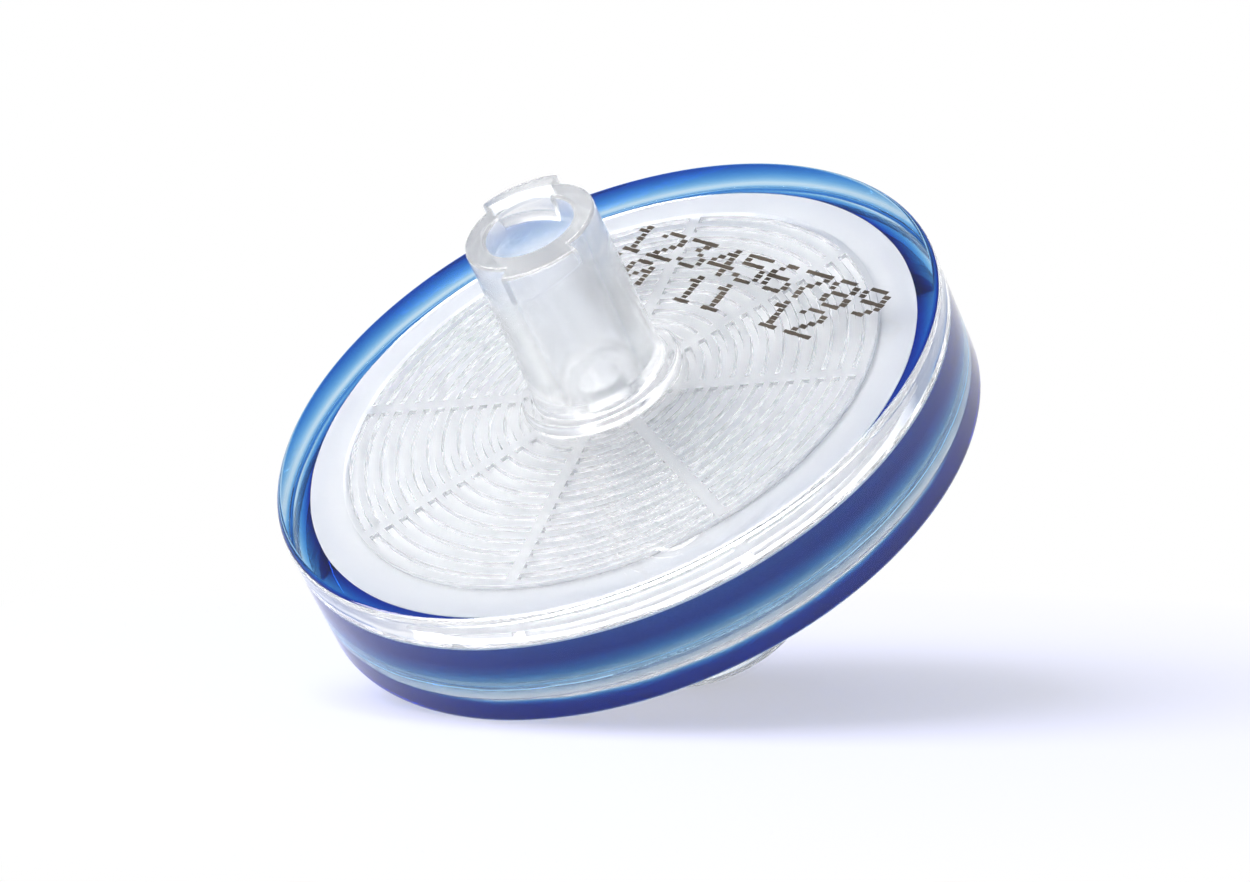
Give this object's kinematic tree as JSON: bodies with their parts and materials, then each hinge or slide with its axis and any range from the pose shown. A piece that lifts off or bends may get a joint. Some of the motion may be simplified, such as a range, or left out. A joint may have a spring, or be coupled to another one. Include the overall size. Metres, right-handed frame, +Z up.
{
  "type": "syringe filter",
  "caption": "Round disc syringe filter with a clear two-part housing, a white membrane, a blue welded edge ring, a female luer inlet and a male luer lock outlet.",
  "frame": {"origin": "centre of the bounding box on the bench that the filter lies on", "axes": "+Z up from the bench; the disc leans towards -Y, so the filter's axis lies in the YZ plane and its inlet points up and towards -Y"},
  "size_m": [0.033, 0.0296, 0.0249],
  "materials": {
    "clear_plastic": "clear, colourless moulded plastic with polished faces",
    "white_membrane": "matt white porous sheet",
    "blue_plastic": "deep blue, slightly see-through moulded plastic"
  },
  "bodies": {
    "root": {"inlet_housing": "clear_plastic", "membrane": "white_membrane", "outlet_housing": "clear_plastic", "weld_ring": "blue_plastic"}
  },
  "joints": []
}
